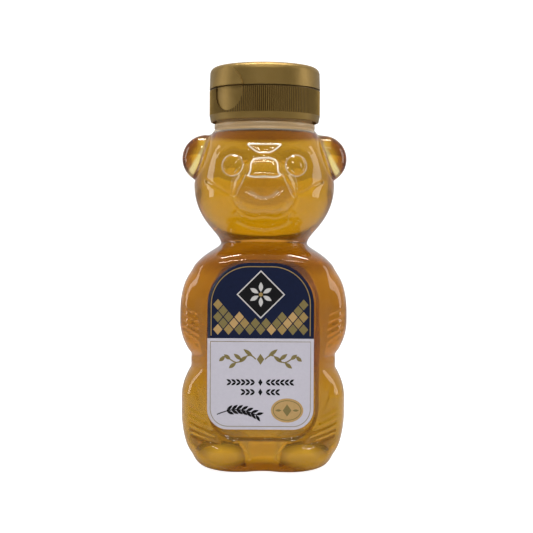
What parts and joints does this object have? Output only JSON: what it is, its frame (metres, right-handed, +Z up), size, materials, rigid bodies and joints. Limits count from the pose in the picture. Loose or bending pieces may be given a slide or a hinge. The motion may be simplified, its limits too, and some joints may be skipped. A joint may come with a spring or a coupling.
{
  "type": "bear-shaped squeeze bottle",
  "caption": "Clear bear-shaped squeeze bottle filled with honey, with a front paper label and a gold ribbed screw cap whose lid flips open.",
  "frame": {"origin": "on the neck's axis, at the middle of the base, on the surface that the bottle stands on", "axes": "+Z up along the neck, -Y towards the bear's front and the label, +X towards the bear's left hand"},
  "size_m": [0.06, 0.0539, 0.1437],
  "materials": {
    "clear_pet": "gloss",
    "honey": "gloss",
    "label_paper": "matte",
    "white_foam": "matte",
    "gold_plastic": "satin"
  },
  "bodies": {
    "bottle": {"bottle": "clear_pet", "honey": "honey", "front_label": "label_paper"},
    "washer": {"sealing_washer": "white_foam"},
    "cap": {"cap_base": "gold_plastic", "living_hinge": "gold_plastic"},
    "lid": {"flip_lid": "gold_plastic"}
  },
  "joints": [
    {"name": "cap_rise", "type": "slide", "parent": "bottle", "child": "washer", "axis": [0, 0, 1], "range_m": [0, 0.00529]},
    {"name": "cap_turn", "type": "hinge", "parent": "washer", "child": "cap", "pos_m": [0, 0, 0.133], "axis": [0, 0, 1], "range_deg": [0, 450]},
    {"name": "lid_flip", "type": "hinge", "parent": "cap", "child": "lid", "pos_m": [0.01362, 0.01512, 0.13565], "axis": [-0.7431, 0.6691, 0], "range_deg": [0, 165], "deforming": ["living_hinge"]}
  ],
  "couplings": [
    {"joint": "cap_rise", "follows": "cap_turn", "m_per_rad": 0.00067377}
  ]
}
